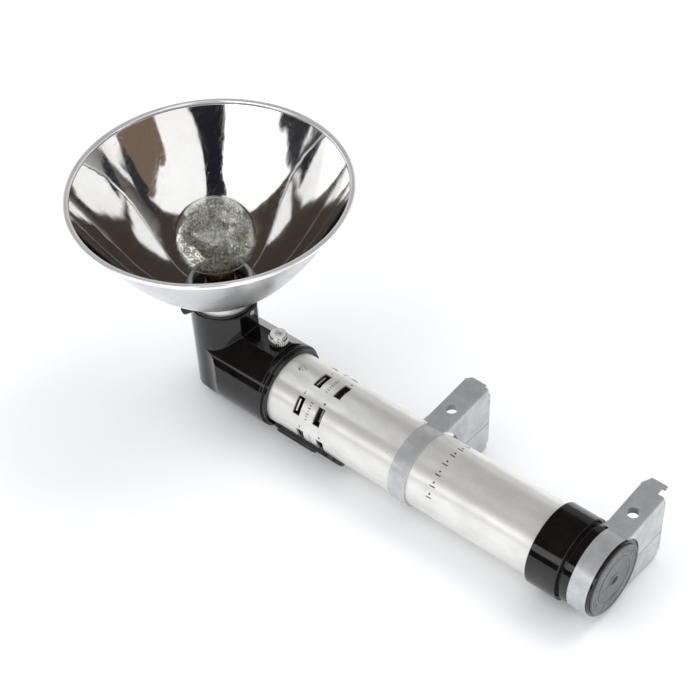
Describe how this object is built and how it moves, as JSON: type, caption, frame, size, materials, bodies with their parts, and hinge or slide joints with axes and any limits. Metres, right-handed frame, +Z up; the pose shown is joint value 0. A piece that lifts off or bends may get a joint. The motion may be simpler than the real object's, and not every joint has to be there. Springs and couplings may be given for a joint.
{
  "type": "press-camera flashgun",
  "caption": "Flashgun with a battery-case handle, elbow head, bowl reflector with flashbulb, plug outlets, trigger bar, screw cap and camera clamps.",
  "frame": {"origin": "under the middle of the flashgun, on the surface that it lies on", "axes": "+X along the battery case from the head to the base cap, +Y the way the clamp arms point, +Z up along the reflector's axis"},
  "size_m": [0.3066, 0.1382, 0.1309],
  "materials": {
    "satin_tube": "satin brushed lengthwise, warm grey",
    "black_bakelite": "polished moulded phenolic",
    "mirror_bowl": "polished inside, satin outside, light scratches",
    "silver_neck": "satin",
    "zinc_clamp": "matte plated sheet with bright edges",
    "nickel": "nickel plate, knurled",
    "steel_screw": "bright",
    "brass": "bright brass",
    "black_insulator": "matte moulded phenolic",
    "black_switch": "semi-gloss moulded",
    "end_plate": "matte grey-black moulded",
    "cell_case": "painted cell case",
    "cell_paper": "waxed card tube",
    "clear_glass": "clear lacquered glass",
    "foil": "shredded bright foil",
    "spring_steel": "plated wire"
  },
  "bodies": {
    "battery_case": {"tube": "satin_tube", "tube_screw": "nickel", "outlet_block": "black_insulator", "outlet_contacts": "nickel", "centre_contact": "brass", "positive_contact": "brass", "battery_cell_front": "cell_case", "battery_cell_rear": "cell_case", "battery_liner": "cell_paper", "switch_plate": "black_switch", "switch_leaf": "brass", "base_sleeve": "black_bakelite"},
    "trigger": {"switch_button": "black_switch", "switch_spring": "spring_steel"},
    "head": {"head_housing": "black_bakelite", "head_rod": "brass", "terminal_block": "black_insulator", "terminal_stud": "brass", "neck_screw": "steel_screw"},
    "lock_knob": {"lock_knob": "nickel", "lock_screw": "steel_screw"},
    "release_lever": {"release_lever": "black_switch"},
    "reflector": {"reflector_bowl": "mirror_bowl", "reflector_neck": "silver_neck", "reflector_collar": "silver_neck", "neck_flange": "silver_neck", "socket_insulator": "black_insulator", "socket_shell": "brass", "socket_rivet": "brass"},
    "plunger": {"socket_plunger": "brass", "plunger_spring": "spring_steel"},
    "bulb": {"bulb_glass": "clear_glass", "bulb_foil": "foil", "bulb_leads": "steel_screw", "bulb_base": "brass", "bulb_insulator": "black_insulator", "bulb_tip": "brass"},
    "middle_clamp": {"middle_clamp": "zinc_clamp"},
    "cap_spring": {"battery_spring": "spring_steel", "spring_seat": "brass"},
    "base_cap": {"base_cap": "black_bakelite", "end_disc": "end_plate", "cap_rivet": "brass"},
    "base_clamp": {"base_clamp": "zinc_clamp"}
  },
  "joints": [
    {"name": "trigger_press", "type": "slide", "parent": "battery_case", "child": "trigger", "axis": [0, 0.7071, 0.7071], "range_m": [0, 0.0011], "stiffness_N_per_m": 300, "springref_m": -0.0015, "deforming": ["switch_spring"]},
    {"name": "head_swivel", "type": "hinge", "parent": "battery_case", "child": "head", "pos_m": [-0.05413, 0, 0.0224], "axis": [1, 0, 0], "range_deg": [-90, 90]},
    {"name": "lock_knob_turn", "type": "hinge", "parent": "head", "child": "lock_knob", "pos_m": [-0.04983, 0.0024, 0.0484], "axis": [0, 0, 1], "range_deg": [0, 540]},
    {"name": "release_lever_turn", "type": "hinge", "parent": "head", "child": "release_lever", "pos_m": [-0.08413, 0, 0.0604], "axis": [0, 0, 1], "range_deg": [0, 30]},
    {"name": "reflector_lift", "type": "slide", "parent": "head", "child": "reflector", "axis": [0, 0, 1], "range_m": [0, 0.02]},
    {"name": "bulb_contact_press", "type": "slide", "parent": "reflector", "child": "plunger", "axis": [0, 0, -1], "range_m": [0, 0.002], "stiffness_N_per_m": 200, "springref_m": -0.002, "deforming": ["plunger_spring"]},
    {"name": "bulb_lift", "type": "slide", "parent": "reflector", "child": "bulb", "axis": [0, 0, 1], "range_m": [0, 0.04]},
    {"name": "middle_clamp_slide", "type": "slide", "parent": "battery_case", "child": "middle_clamp", "axis": [1, 0, 0], "range_m": [-0.03, 0.068]},
    {"name": "base_cap_travel", "type": "slide", "parent": "battery_case", "child": "cap_spring", "axis": [1, 0, 0], "range_m": [0, 0.008]},
    {"name": "base_cap_turn", "type": "hinge", "parent": "cap_spring", "child": "base_cap", "pos_m": [0.14387, 0, 0.0224], "axis": [1, 0, 0], "range_deg": [0, 1440.1]},
    {"name": "base_clamp_turn", "type": "hinge", "parent": "cap_spring", "child": "base_clamp", "pos_m": [0.14587, 0, 0.0224], "axis": [1, 0, 0], "range_deg": [-175, 175]}
  ],
  "couplings": [
    {"joint": "base_cap_turn", "follows": "base_cap_travel", "rad_per_m": 3141.6}
  ]
}
